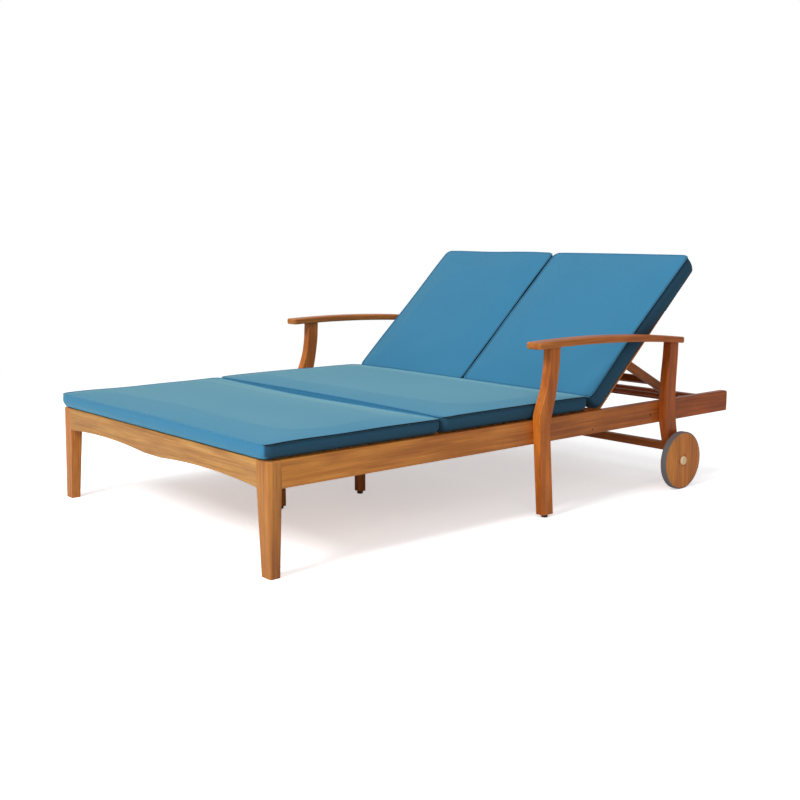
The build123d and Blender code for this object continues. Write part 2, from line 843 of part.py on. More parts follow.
def cushion_hood():
    """Fabric pocket from the right back cushion's top edge, over the top of its frame."""
    skin = fabric_slack + fabric_thickness
    y0 = hinge_y + back_length - hood_length
    y1 = hinge_y + back_length
    rear = hinge_z + back_rear
    top = slat_top + soft_gap
    outer = block(back_inner - skin, back_outer + skin, y0, y1 + skin, rear - skin, top)
    inner = block(
        back_inner - fabric_slack,
        back_outer + fabric_slack,
        y0 - overrun,
        y1 + fabric_slack,
        rear - fabric_slack,
        top + overrun,
    )
    return raised(outer - inner)


pieces = {
    "side_rail_right": side_rail(),
    "foot_apron": foot_apron(),
    "front_leg_right": front_leg(),
    "arm_front_leg_right": arm_front_leg(),
    "arm_rear_leg_right": arm_rear_leg(),
    "armrest_right": armrest(),
    "centre_beam": centre_beam(),
    "centre_leg_foot": centre_leg(centre_leg_place_shares[0]),
    "centre_leg_head": centre_leg(centre_leg_place_shares[1]),
    "rear_crossbar": rear_crossbar(),
    "wheel_stretcher": wheel_stretcher(),
    "slat_ledgers": slat_ledgers(),
    "seat_slats": seat_slats(),
    "prop_racks": prop_racks(),
    "leg_glides": leg_glides(),
    "leg_bolts": leg_bolts(),
    "hinge_pins": hinge_pins(),
    "wheel_disc_right": wheel_disc(),
    "wheel_tyre_right": wheel_tyre(),
    "wheel_bush_right": wheel_bush(),
    "back_stile_outer_right": raised(stile()),
    "back_stile_inner_right": about_back_middle(raised(stile())),
    "back_top_rail_right": raised(back_rail(back_top_start)),
    "back_bottom_rail_right": raised(back_rail(back_bottom_start)),
    "back_slats_right": back_slats(),
    "prop_cleats_right": Compound([prop_cleat(), about_back_middle(prop_cleat())]),
    "prop_pivots_right": Compound([prop_pivot(), about_back_middle(prop_pivot())]),
    "prop_strut_outer_right": prop_strut(),
    "prop_strut_inner_right": about_back_middle(prop_strut()),
    "prop_crossbar_right": prop_crossbar(),
    "prop_foot_bar_right": prop_foot_bar(),
    "foot_cushion": foot_cushion(),
    "mid_cushion": mid_cushion(),
    "back_cushion_right": back_cushion(),
    "cushion_hood_right": cushion_hood(),
}

both_sides = {
    "axle_bolts": [axle_bolt()],
    "axle_spacers": [axle_spacer()],
    "axle_caps": [axle_cap()],
    "arm_dowels": arm_dowel_rods(dowel_radius),
}

for name, solids in both_sides.items():
    pieces[name] = Compound(solids + [mirrored(solid) for solid in solids])

for name in [name for name in pieces if name.endswith("_right")]:
    pieces[name.replace("_right", "_left")] = mirrored(pieces[name])

os.makedirs("parts", exist_ok=True)
for name, shape in pieces.items():
    export_step(shape, f"parts/{name}.step")

turns = ", ".join(f"{angle:g} at Y {foot_point(angle)[0]:.1f}" for angle in back_stop_angles)
print("Back angles and foot bar places:", turns)
print("Hinge", hinge_y, hinge_z, "prop pivot", round(pivot_y, 4), round(pivot_z, 4))
print("Strut lean", round(strut_rest_lean, 3))
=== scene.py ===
import json
import math
import bpy
import numpy as np
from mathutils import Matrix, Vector


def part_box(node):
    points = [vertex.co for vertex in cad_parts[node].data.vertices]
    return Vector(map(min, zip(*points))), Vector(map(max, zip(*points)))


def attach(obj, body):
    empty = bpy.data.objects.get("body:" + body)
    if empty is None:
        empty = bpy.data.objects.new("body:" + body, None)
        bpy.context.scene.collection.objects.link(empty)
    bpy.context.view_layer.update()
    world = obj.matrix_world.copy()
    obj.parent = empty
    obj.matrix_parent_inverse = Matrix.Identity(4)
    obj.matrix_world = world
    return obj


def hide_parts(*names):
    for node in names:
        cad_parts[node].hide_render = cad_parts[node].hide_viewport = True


bl_info = {
    "name": "Double chaise lounger",
    "version": (1, 0, 0),
    "blender": (4, 5, 0),
    "location": "View3D > Sidebar > Lounger",
    "description": "Dresses the lounger's frame with oiled hardwood, canvas cushions and fittings",
    "category": "Object",
}

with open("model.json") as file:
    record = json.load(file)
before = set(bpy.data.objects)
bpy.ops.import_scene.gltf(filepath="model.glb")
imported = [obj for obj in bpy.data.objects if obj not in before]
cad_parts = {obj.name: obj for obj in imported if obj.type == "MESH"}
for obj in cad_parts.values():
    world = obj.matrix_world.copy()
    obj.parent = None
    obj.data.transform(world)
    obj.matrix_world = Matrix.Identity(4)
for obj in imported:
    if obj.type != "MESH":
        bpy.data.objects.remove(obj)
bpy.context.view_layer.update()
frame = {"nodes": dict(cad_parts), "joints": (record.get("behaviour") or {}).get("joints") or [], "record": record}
SIDES = ("right", "left")
MM = 0.001
WHITE = (1.0, 1.0, 1.0, 1.0)


def hinge_of(side):
    """The place of one backrest's hinge, from the frame's joints."""
    for joint in frame["joints"]:
        if joint["name"] == f"backrest_{side}_hinge":
            return Vector(joint["pos_m"])
    raise RuntimeError(f"the frame has no hinge for the {side} backrest")


HINGE = hinge_of("right")


# Settings that a user would change

class WoodSettings(bpy.types.PropertyGroup):
    foot_light: bpy.props.StringProperty(
        name="Foot light", description="Pale grain at the foot end, sRGB hex", default="#E6A049")
    foot_dark: bpy.props.StringProperty(
        name="Foot dark", description="Dark grain at the foot end, sRGB hex", default="#B66E28")
    head_light: bpy.props.StringProperty(
        name="Head light", description="Pale grain at the head end, sRGB hex", default="#C86428")
    head_dark: bpy.props.StringProperty(
        name="Head dark", description="Dark grain at the head end, sRGB hex", default="#833D14")
    streak: bpy.props.StringProperty(
        name="Streak", description="Reddish heartwood streaks, sRGB hex", default="#7E3A1C")
    knot: bpy.props.StringProperty(
        name="Knot", description="Small knots, sRGB hex", default="#3A2012")
    grain_width: bpy.props.FloatProperty(
        name="Grain width", description="Width of one growth ring on a board's face",
        default=7 * MM, unit="LENGTH")
    grain_length: bpy.props.FloatProperty(
        name="Grain length", description="Length over which a growth ring wanders",
        default=280 * MM, unit="LENGTH")
    edge_radius: bpy.props.FloatProperty(
        name="Edge radius", description="Radius that the light sees on a board's broken edges",
        default=3 * MM, unit="LENGTH")


class FabricSettings(bpy.types.PropertyGroup):
    blue: bpy.props.StringProperty(
        name="Blue", description="Canvas of the panels, sRGB hex", default="#3E88B0")
    # The side blue is painted shade: the dark of the borders' long sides and shaded ends.
    shaded_side_blue: bpy.props.StringProperty(
        name="Side blue", description="Canvas of the long side borders, sRGB hex", default="#264F66")
    # The cord blue is a painted shadow: the dark crease along the cord on the long sides.
    shaded_cord_blue: bpy.props.StringProperty(
        name="Cord blue", description="Cord along the long side borders, sRGB hex", default="#0A141C")
    thread: bpy.props.FloatProperty(
        name="Thread", description="Spacing of the threads, drawn coarse enough to show",
        default=1.6 * MM, unit="LENGTH")
    piping_radius: bpy.props.FloatProperty(
        name="Piping radius", description="Radius of the corded edge", default=2.2 * MM, unit="LENGTH")


class CushionSettings(bpy.types.PropertyGroup):
    foot_side: bpy.props.FloatProperty(
        name="Foot side height", description="Height of the foot cushion's border",
        default=40 * MM, unit="LENGTH")
    mid_side: bpy.props.FloatProperty(
        name="Mid side height", description="Height of the mid cushion's border",
        default=45 * MM, unit="LENGTH")
    back_side: bpy.props.FloatProperty(
        name="Back side height", description="Height of a back cushion's border",
        default=62 * MM, unit="LENGTH")
    crown: bpy.props.FloatProperty(
        name="Crown", description="How far the foam's middle stands above the border",
        default=8 * MM, unit="LENGTH")
    unevenness: bpy.props.FloatProperty(
        name="Unevenness", description="Height of the slow waves in a filling",
        default=2 * MM, unit="LENGTH")
    foot_bow: bpy.props.FloatVectorProperty(
        name="Foot bow", description="The foot cushion's rear edge: rise at its ends, drop of all of it",
        size=2, default=(8 * MM, 5 * MM), unit="LENGTH")
    mid_bow: bpy.props.FloatProperty(
        name="Mid bow", description="How far the mid cushion's front edge stands up in its middle",
        default=3 * MM, unit="LENGTH")
    seat_under: bpy.props.FloatVectorProperty(
        name="Seat under", description="Inset of a seat cushion's bottom seam: sides, foot end, head end",
        size=3, default=(10 * MM, 4 * MM, 4 * MM), unit="LENGTH")
    back_under: bpy.props.FloatVectorProperty(
        name="Back under", description="Inset of a back cushion's rear seam: sides, lower end, upper end",
        size=3, default=(6 * MM, 7 * MM, 0.0), unit="LENGTH")
    flare: bpy.props.FloatProperty(
        name="Flare", description="How much wider a back cushion is at its top than between the armrests",
        default=9 * MM, unit="LENGTH")
    lean: bpy.props.FloatProperty(
        name="Lean", description="How far the back cushions' meeting edges lie to the left of the middle",
        default=7 * MM, unit="LENGTH")
    groove: bpy.props.FloatProperty(
        name="Groove", description="Depth of the fold under the top seam of a long side", default=2.5 * MM,
        unit="LENGTH")
    puff: bpy.props.FloatProperty(
        name="Puff", description="How far the filling may push a panel out", default=6 * MM, unit="LENGTH")
    border_puff: bpy.props.FloatProperty(
        name="Border puff", description="How far the filling may push a border out",
        default=2.5 * MM, unit="LENGTH")
    border_bulge: bpy.props.FloatProperty(
        name="Border bulge", description="How far a border's middle stands out before it is filled",
        default=2 * MM, unit="LENGTH")
    inset: bpy.props.FloatProperty(
        name="Inset", description="From the cushion's space to its seams", default=1.5 * MM, unit="LENGTH")
    overhang: bpy.props.FloatProperty(
        name="Overhang", description="How far the foot cushion stands out over the apron", default=8 * MM,
        unit="LENGTH")
    corner: bpy.props.FloatProperty(
        name="Corner", description="Radius of a cushion's corners", default=19 * MM, unit="LENGTH")
    draw_in: bpy.props.FloatProperty(
        name="Draw-in", description="How far a side is drawn in between its corners",
        default=1 * MM, unit="LENGTH")
    step: bpy.props.FloatProperty(
        name="Step", description="Spacing of a cushion's mesh", default=9 * MM, unit="LENGTH")
    back_angle: bpy.props.FloatProperty(
        name="Back angle", description="Rest angle of the backrests",
        default=math.radians(42.5), subtype="ANGLE")
    back_length: bpy.props.FloatProperty(
        name="Back length", description="Length of a back cushion", default=666 * MM, unit="LENGTH")
    back_start: bpy.props.FloatProperty(
        name="Back start", description="From the hinge to the back cushion", default=-6 * MM, unit="LENGTH")
    frame_front: bpy.props.FloatProperty(
        name="Frame front", description="From the hinge to the backrest's front face",
        default=12.3 * MM, unit="LENGTH")
    frame_depth: bpy.props.FloatProperty(
        name="Frame depth", description="Thickness of a backrest's frame", default=20 * MM, unit="LENGTH")
    frame_length: bpy.props.FloatProperty(
        name="Frame length", description="From the hinge to a backrest's top end",
        default=655 * MM, unit="LENGTH")
    hood_length: bpy.props.FloatProperty(
        name="Hood length", description="Reach of the pocket over the backrest's top",
        default=187 * MM, unit="LENGTH")
    hood_gap: bpy.props.FloatVectorProperty(
        name="Hood gap", description="From the frame's front, rear and top end to the pocket's skin",
        size=3, default=(0.5 * MM, 1.7 * MM, 3 * MM), unit="LENGTH")
    hood_sag: bpy.props.FloatProperty(
        name="Hood sag", description="How far the pocket's rear wall hangs out in its middle",
        default=2 * MM, unit="LENGTH")


class StageSettings(bpy.types.PropertyGroup):
    camera_place: bpy.props.FloatVectorProperty(
        name="Camera place", description="Where the camera stands", default=(2.874229, -2.514482, 0.863745),
        subtype="TRANSLATION")
    camera_turn: bpy.props.FloatProperty(
        name="Camera turn", description="Heading from +Y towards -X",
        default=math.radians(49.412), subtype="ANGLE")
    camera_down: bpy.props.FloatProperty(
        name="Camera down", description="How far the camera looks down",
        default=math.radians(8.452), subtype="ANGLE")
    camera_lens: bpy.props.FloatProperty(
        name="Camera lens", description="Focal length in mm on a 36 mm wide sensor", default=50.0)
    key_energy: bpy.props.FloatProperty(
        name="Key", description="Power of the lamp in front", default=206.0)
    top_energy: bpy.props.FloatProperty(
        name="Top", description="Power of the lamp overhead", default=37.0)
    fill_energy: bpy.props.FloatProperty(
        name="Fill", description="Power of the lamp at the side", default=30.0)
    sky: bpy.props.FloatProperty(
        name="Sky", description="Strength of the plain surroundings", default=0.3)
    glossy_sky: bpy.props.FloatProperty(
        name="Glossy sky", description="Strength of the surroundings in reflections", default=0.6)
    floor_glow: bpy.props.FloatProperty(
        name="Floor glow", description="Light that the floor gives the camera by itself", default=0.48)
    floor_extra: bpy.props.FloatProperty(
        name="Floor extra", description="Grey that the camera sees on top of the floor's own", default=0.46)
    white_from: bpy.props.FloatProperty(
        name="White from", description="Where the floor starts to turn all white", default=1.6, unit="LENGTH")
    white_to: bpy.props.FloatProperty(
        name="White to", description="Where the floor is all white", default=4.0, unit="LENGTH")


def settings(name):
    """One group of settings, by its name on the scene."""
    return getattr(bpy.context.scene, name)


# Small helpers

def linear(code):
    """An sRGB hex value as a linear colour with alpha 1."""
    values = [int(code[i:i + 2], 16) / 255 for i in (1, 3, 5)]
    return [v / 12.92 if v <= 0.04045 else ((v + 0.055) / 1.055) ** 2.4 for v in values] + [1.0]


def add(tree, kind, links=None, **fields):
    """Adds a node, sets its fields and sockets, and links sockets to other nodes' outputs.

    A key of links is a socket's name or number; a field that is no property is a socket's value.
    """
    node = tree.nodes.new(kind)
    for key, value in fields.items():
        if hasattr(node, key):
            setattr(node, key, value)
        else:
            node.inputs[key.replace("_", " ")].default_value = value
    for key, source in (links or {}).items():
        tree.links.new(node.inputs[key], source)
    return node


def ramp(tree, source, stops):
    """A colour ramp over a factor, from (place, colour) stops."""
    node = add(tree, "ShaderNodeValToRGB", {"Fac": source})
    while len(node.color_ramp.elements) < len(stops):
        node.color_ramp.elements.new(0.5)
    for element, (place, colour) in zip(node.color_ramp.elements, stops):
        element.position = place
        element.color = colour
    return node.outputs["Color"]


def grey(value):
    """A grey for a ramp that is read as a factor."""
    return (value, value, value, 1.0)


def blank_material(name):
    """A new node material, and its tree and surface shader."""
    material = bpy.data.materials.new(name)
    material.use_nodes = True
    tree = material.node_tree
    return material, tree, tree.nodes["Principled BSDF"]


def spread(tree, factor, first, second, kind="MIX", amount=None):
    """Mixes two colours by a factor or by a plain amount."""
    node = add(tree, "ShaderNodeMix", data_type="RGBA", blend_type=kind)
    if factor is None:
        node.inputs[0].default_value = amount
    else:
        tree.links.new(node.inputs[0], factor)
    for socket, colour in ((6, first), (7, second)):
        if isinstance(colour, (list, tuple)):
            node.inputs[socket].default_value = colour
        else:
            tree.links.new(node.inputs[socket], colour)
    return node.outputs[2]


# Materials

# Where the wood has its foot colours and its head colours, in metres along the bed.
FOOT_TONE_Y, HEAD_TONE_Y = -1.15, 0.85

# Sizes of the fine patterns, in metres. Slubs, spangle and grit are far finer on the real surfaces, and are
# drawn as coarse as they need to show.
SLUB = 1 / 240
FADING = 1 / 5
SPANGLE = 1 / 320
GRIT = 1 / 900


def oiled_hardwood(name, turn, shift, knots, tint):
    """Planed hardwood with a brushed-on oil stain: even satin, growth rings drawn out along the board.

    The board's length is brought to local X by the turn. Rings are a noise stretched along X;
    broad noise gives the heartwood streaks, and fine long noise the open pores. The tint is the board's own
    tone; on the far side rail and the centre beam it is painted shade, and on the armrests partly painted light.
    From foot to head the colour goes from the pale to the dark pair.
    Knots are small dark spots. The edges are broken: the light bends round them as round a small radius.
    """
    wood = settings("lounger_wood")
    material, tree, shader = blank_material(name)
    place = add(tree, "ShaderNodeTexCoord").outputs["Object"]
    board = add(tree, "ShaderNodeMapping", {"Vector": place}, Rotation=turn, Location=shift).outputs["Vector"]

    def grain(along, across, detail, distortion=0.0):
        stretched = add(tree, "ShaderNodeVectorMath", {0: board}, operation="MULTIPLY")
        stretched.inputs[1].default_value = (1 / along, 1 / across, 1 / across)
        return add(tree, "ShaderNodeTexNoise", {"Vector": stretched.outputs[0]}, Scale=1.0, Detail=detail,
                   Roughness=0.55, Distortion=distortion).outputs["Fac"]

    rings = grain(wood.grain_length, wood.grain_width, 4.0, 0.6)
    patches = grain(wood.grain_length * 1.4, wood.grain_width * 5, 2.0, 0.4)
    pores = grain(wood.grain_length * 0.12, wood.grain_width * 0.16, 1.0)
    cloud = grain(wood.grain_length * 0.5, wood.grain_width * 9, 2.0)
    from_middle = add(tree, "ShaderNodeSeparateXYZ", {0: place}).outputs["Y"]
    to_head = add(tree, "ShaderNodeMapRange", {"Value": from_middle}, From_Min=FOOT_TONE_Y,
                  From_Max=HEAD_TONE_Y, To_Min=0.0, To_Max=1.0).outputs["Result"]
    light = spread(tree, to_head, linear(wood.foot_light), linear(wood.head_light))
    dark = spread(tree, to_head, linear(wood.foot_dark), linear(wood.head_dark))
    tone = ramp(tree, rings, [(0.26, grey(0.0)), (0.5, grey(0.55)), (0.74, grey(1.0))])
    colour = spread(tree, tone, dark, light)
    broad = ramp(tree, cloud, [(0.32, grey(0.0)), (0.72, grey(0.6))])
    colour = spread(tree, broad, colour, dark)
    redness = ramp(tree, patches, [(0.46, grey(0.0)), (0.72, grey(0.55))])
    colour = spread(tree, redness, colour, linear(wood.streak))
    colour = spread(tree, None, colour, [*tint, 1.0], "MULTIPLY", 1.0)
    ticks = ramp(tree, pores, [(0.28, grey(0.78)), (0.42, grey(1.0))])
    colour = spread(tree, None, colour, ticks, "MULTIPLY", 0.8)
    for centre, radius in knots:
        gap = add(tree, "ShaderNodeVectorMath", {0: place}, operation="DISTANCE")
        gap.inputs[1].default_value = centre
        mark = add(tree, "ShaderNodeMapRange", {"Value": gap.outputs["Value"]},
                   interpolation_type="SMOOTHSTEP", From_Min=radius * 0.4, From_Max=radius,
                   To_Min=0.85, To_Max=0.0).outputs["Result"]
        colour = spread(tree, mark, colour, linear(wood.knot))
    tree.links.new(shader.inputs["Base Color"], colour)
    rough = ramp(tree, rings, [(0.3, grey(0.42)), (0.7, grey(0.34))])
    tree.links.new(shader.inputs["Roughness"], rough)
    relief = spread(tree, None, tone, ticks, "MULTIPLY", 1.0)
    edge = add(tree, "ShaderNodeBevel", samples=4)
    edge.inputs["Radius"].default_value = wood.edge_radius
    bump = add(tree, "ShaderNodeBump", {"Height": relief, "Normal": edge.outputs["Normal"]}, Strength=0.35,
               Distance=0.3 * MM)
    tree.links.new(shader.inputs["Normal"], bump.outputs["Normal"])
    shader.inputs["IOR"].default_value = 1.5
    shader.inputs["Specular IOR Level"].default_value = 0.35
    return material


def canvas(name, side):
    """Plain-woven outdoor canvas, solution dyed: matt, with slight slubs and a pale sheen at grazing angles.

    The piece's border attribute blends in the side colour, which is painted shade on the marked borders and cords;
    there the sheen is less.
    """
    fabric = settings("lounger_fabric")
    material, tree, shader = blank_material(name)
    cloth = add(tree, "ShaderNodeTexCoord").outputs["Object"]
    threads = []
    for direction in ("X", "Y", "Z"):
        wave = add(tree, "ShaderNodeTexWave", {"Vector": cloth}, wave_type="BANDS", bands_direction=direction,
                   Scale=math.pi / 10 / fabric.thread, Distortion=0.6, Detail=1.0)
        threads.append(wave.outputs["Fac"])
    weave = spread(tree, None, threads[0], threads[1], "MULTIPLY", 1.0)
    weave = spread(tree, None, weave, threads[2], "MULTIPLY", 0.5)
    slub = add(tree, "ShaderNodeTexNoise", {"Vector": cloth}, Scale=1 / SLUB, Detail=3.0).outputs["Fac"]
    faded = add(tree, "ShaderNodeTexNoise", {"Vector": cloth}, Scale=1 / FADING, Detail=2.0).outputs["Fac"]
    # The border attribute is painted shade, and blends the side colour in.
    border = add(tree, "ShaderNodeAttribute", attribute_name="border").outputs["Fac"]
    tint = spread(tree, border, linear(fabric.blue), linear(side))
    patches = ramp(tree, faded, [(0.3, grey(0.95)), (0.7, grey(1.0))])
    tint = spread(tree, None, tint, patches, "MULTIPLY", 1.0)
    speckle = ramp(tree, slub, [(0.3, grey(0.9)), (0.6, grey(1.0))])
    tint = spread(tree, None, tint, speckle, "MULTIPLY", 0.8)
    tree.links.new(shader.inputs["Base Color"], tint)
    shader.inputs["Roughness"].default_value = 0.85
    sheen = add(tree, "ShaderNodeMapRange", {"Value": border}, To_Min=1.0, To_Max=0.15).outputs["Result"]
    tree.links.new(shader.inputs["Sheen Weight"], sheen)
    shader.inputs["Sheen Roughness"].default_value = 0.35
    shader.inputs["Sheen Tint"].default_value = (0.56, 1.0, 1.0, 1.0)
    shader.inputs["Specular IOR Level"].default_value = 0.25
    bump = add(tree, "ShaderNodeBump", {"Height": weave}, Strength=0.25, Distance=0.25 * MM)
    tree.links.new(shader.inputs["Normal"], bump.outputs["Normal"])
    return material


def plated_steel():
    """Zinc-plated steel, drawn or turned: cool grey with a faint spangle."""
    material, tree, shader = blank_material("zinc_plated_steel")
    place = add(tree, "ShaderNodeTexCoord").outputs["Object"]
    spangle = add(tree, "ShaderNodeTexNoise", {"Vector": place}, Scale=1 / SPANGLE, Detail=3.0).outputs["Fac"]
    colour = ramp(tree, spangle, [(0.3, linear("#A9ACAE")), (0.7, linear("#CDD0D1"))])
    tree.links.new(shader.inputs["Base Color"], colour)
    rough = ramp(tree, spangle, [(0.3, grey(0.42)), (0.7, grey(0.3))])
    tree.links.new(shader.inputs["Roughness"], rough)
    shader.inputs["Metallic"].default_value = 1.0
    return material


def moulded(name, colour, roughness):
    """Injection-moulded plastic or rubber: even colour with a fine moulded texture."""
    material, tree, shader = blank_material(name)
    place = add(tree, "ShaderNodeTexCoord").outputs["Object"]
    texture = add(tree, "ShaderNodeTexNoise", {"Vector": place}, Scale=1 / GRIT, Detail=2.0).outputs["Fac"]
    deep = [c * 0.85 for c in linear(colour)[:3]] + [1.0]
    tree.links.new(shader.inputs["Base Color"], ramp(tree, texture, [(0.35, deep), (0.65, linear(colour))]))
    bump = add(tree, "ShaderNodeBump", {"Height": texture}, Strength=0.2, Distance=0.1 * MM)
    tree.links.new(shader.inputs["Normal"], bump.outputs["Normal"])
    shader.inputs["Roughness"].default_value = roughness
    shader.inputs["IOR"].default_value = 1.5
    return material


# Surfaces

def new_piece(name, vertices, faces):
    """A mesh object from arrays of vertices and faces."""
    mesh = bpy.data.meshes.new(name)
    mesh.from_pydata(vertices.tolist(), [], faces.tolist())
    piece = bpy.data.objects.new(name, mesh)
    bpy.context.collection.objects.link(piece)
    return piece


def grid_object(name, points, close_rows=False):
    """A mesh from a grid of points: rows x columns x 3, closed round the columns.

    With close_rows the last row joins the first; otherwise the end rows stay open.
    """
    rows, columns, _ = points.shape
    last = rows if close_rows else rows - 1
    row, column = np.meshgrid(np.arange(last), np.arange(columns), indexing="ij")
    after_row = (row + 1) % rows
    after_column = (column + 1) % columns
    faces = np.stack([row * columns + column, row * columns + after_column,
                      after_row * columns + after_column, after_row * columns + column], axis=-1)
    piece = new_piece(name, points.reshape(-1, 3), faces.reshape(-1, 4)[:, ::-1])
    piece.data.validate()
    return piece


def coordinates(mesh):
    """A mesh's vertices as an array."""
    values = np.empty(len(mesh.vertices) * 3)
    mesh.vertices.foreach_get("co", values)
    return values.reshape(-1, 3)


def set_coordinates(mesh, points):
    """Writes an array of points into a mesh."""
    mesh.vertices.foreach_set("co", points.ravel())
    mesh.update()


def vertex_normals(mesh):
    """A mesh's vertex normals as an array."""
    values = np.empty(len(mesh.vertices) * 3)
    mesh.vertices.foreach_get("normal", values)
    return values.reshape(-1, 3)


def mark_painted_shade(mesh, share):
    """Keeps a share of painted shade for each vertex as the border attribute, which the canvas reads."""
    layer = mesh.attributes.new("border", "FLOAT", "POINT")
    layer.data.foreach_set("value", share)


def smooth(piece):
    """Smooth shading all over a piece."""
    piece.data.polygons.foreach_set("use_smooth", np.ones(len(piece.data.polygons), dtype=bool))


def squared_oval(angle, power):
    """A unit outline between circle and square: cosine and sine to the 2 / power, each with its sign kept."""
    cosine = np.cos(angle)
    sine = np.sin(angle)
    return np.sign(cosine) * np.abs(cosine) ** (2 / power), np.sign(sine) * np.abs(sine) ** (2 / power)


def rounded(x, y, half_x, half_y, corner, draw_in):
    """Rounds a rectangle's outline and draws its sides in.

    A point keeps its ring, the larger of its two shares of the half sizes. Its ring's outline is the
    rectangle less the corner, plus the corner in the direction of what was cut off. Each side is then
    scaled in by draw_in times one less the square of the share along it.
    """
    ring = np.maximum(np.maximum(np.abs(x) / half_x, np.abs(y) / half_y), 1e-6)
    edge_x = x / ring
    edge_y = y / ring
    core_x = np.clip(edge_x, corner - half_x, half_x - corner)
    core_y = np.clip(edge_y, corner - half_y, half_y - corner)
    out_x = edge_x - core_x
    out_y = edge_y - core_y
    reach = np.maximum(np.hypot(out_x, out_y), 1e-9)
    edge_x = core_x + corner * out_x / reach
    edge_y = core_y + corner * out_y / reach
    pull_x = 1 - draw_in / half_x * (1 - (edge_y / half_y) ** 2)
    pull_y = 1 - draw_in / half_y * (1 - (edge_x / half_x) ** 2)
    return edge_x * pull_x * ring, edge_y * pull_y * ring


# Heights of the rows up a cushion's border as shares of it, and each row's share of the groove's depth.
BORDER_ROWS = np.array([0.05, 0.12, 0.24, 0.4, 0.56, 0.72, 0.84, 0.91, 0.96])
GROOVE_ROWS = np.array([0, 0, 0, 0, 0, 0, 0.25, 0.9, 1.0])
SWELL_SHARE = 0.45


def cushion_body(name, half_x, half_y, side, under, shape):
    """A boxed cushion on Z = 0 about the origin, and the vertex numbers of its bottom and top seams.

    Both panels are the same grid on a rounded outline, at even steps; the bottom outline is the smaller one.
    The top one stands at the side height plus crown times (1 - ring^6) and the settle of shape. Up to the
    swell share of its height the border goes out as 1 - (1 - share / swell)^2, and a half sine bulges it.
    A groove under the top seam fades with the fourth power of the outward X share.
    """
    cushions = settings("lounger_cushions")
    count_x = int(2 * half_x / cushions.step)
    count_y = int(2 * half_y / cushions.step)
    u, v = np.meshgrid(np.linspace(-1, 1, count_x), np.linspace(-1, 1, count_y), indexing="ij")
    x, y = rounded(u * half_x, v * half_y, half_x, half_y, cushions.corner, cushions.draw_in)
    ring = np.maximum(np.abs(u), np.abs(v))
    settle = shape(u, v)
    top = np.stack([x, y, side + settle + cushions.crown * (1 - ring ** 6)], axis=-1)
    low_x = half_x - under[0]
    low_y = half_y - (under[1] + under[2]) / 2
    x, y = rounded(u * low_x, v * low_y, low_x, low_y, cushions.corner, cushions.draw_in)
    bottom = np.stack([x, y + (under[1] - under[2]) / 2, 0 * x], axis=-1)
    number = np.arange(count_x * count_y).reshape(count_x, count_y)
    rim = np.concatenate([number[:-1, 0], number[-1, :-1], number[:0:-1, -1], number[0, :0:-1]])
    low = bottom.reshape(-1, 3)[rim]
    high = top.reshape(-1, 3)[rim]
    outward = np.roll(low, -1, axis=0) - np.roll(low, 1, axis=0)
    outward = np.stack([outward[:, 1], -outward[:, 0], 0 * outward[:, 0]], axis=1)
    outward /= np.linalg.norm(outward, axis=1, keepdims=True)
    fold = cushions.groove * outward[:, :1] ** 4
    rise = np.array([0.0, 0.0, 1.0])
    bulge = cushions.border_bulge * np.sin(np.pi * BORDER_ROWS)
    swell = 1 - np.maximum(0.0, 1 - BORDER_ROWS / SWELL_SHARE) ** 2
    rows = [low + (high - low) * (rise * share + (1 - rise) * wide) + outward * (out - fold * deep)
            for share, wide, out, deep in zip(BORDER_ROWS, swell, bulge, GROOVE_ROWS)]
    points = np.concatenate([bottom.reshape(-1, 3), top.reshape(-1, 3), *rows])
    quads = np.stack([number[:-1, :-1], number[1:, :-1], number[1:, 1:], number[:-1, 1:]], axis=-1)
    quads = quads.reshape(-1, 4)
    panel = count_x * count_y
    length = len(rim)
    rings = [rim, *(2 * panel + length * k + np.arange(length) for k in range(len(rows))), rim + panel]
    walls = [np.stack([a, np.roll(a, -1), np.roll(b, -1), b], axis=1) for a, b in zip(rings[:-1], rings[1:])]
    piece = new_piece(name, points, np.concatenate([quads[:, ::-1], quads + panel, *walls]))
    return piece, rim, rim + panel


CLOTH_MOMENTS = 20
PANEL_SHARE = 0.02


def puffed(piece, seams, side):
    """Fills a cushion: its cover is blown up from inside as cloth held at the seams.

    A point moves at most by the puff, or on the border, between 2 and 98 % of the side height, by the
    border's puff.
    """
    cushions = settings("lounger_cushions")
    smooth(piece)
    before = coordinates(piece.data)
    held = piece.vertex_groups.new(name="seams")
    held.add([int(number) for number in seams], 1.0, "REPLACE")
    cloth = piece.modifiers.new("cloth", "CLOTH")
    cloth.settings.quality = 4
    cloth.settings.vertex_group_mass = held.name
    cloth.settings.use_pressure = True
    cloth.settings.uniform_pressure_force = 4.0
    cloth.settings.effector_weights.gravity = 0.0
    cloth.settings.tension_stiffness = 15.0
    cloth.settings.bending_stiffness = 4.0
    cloth.collision_settings.use_collision = False
    for moment in range(1, CLOTH_MOMENTS + 1):
        bpy.context.scene.frame_set(moment)
    shaped = piece.evaluated_get(bpy.context.evaluated_depsgraph_get())
    moved = coordinates(shaped.data) - before
    piece.modifiers.remove(cloth)
    piece.vertex_groups.clear()
    bpy.context.scene.frame_set(1)
    far = np.linalg.norm(moved, axis=1, keepdims=True)
    share = before[:, 2:] / side
    on_border = (share > PANEL_SHARE) & (share < 1 - PANEL_SHARE)
    cap = np.where(on_border, cushions.border_puff, cushions.puff)
    after = before + moved * np.minimum(1.0, cap / np.maximum(far, 1e-9))
    after[:, 2] = np.maximum(after[:, 2], 0.0)
    set_coordinates(piece.data, after)


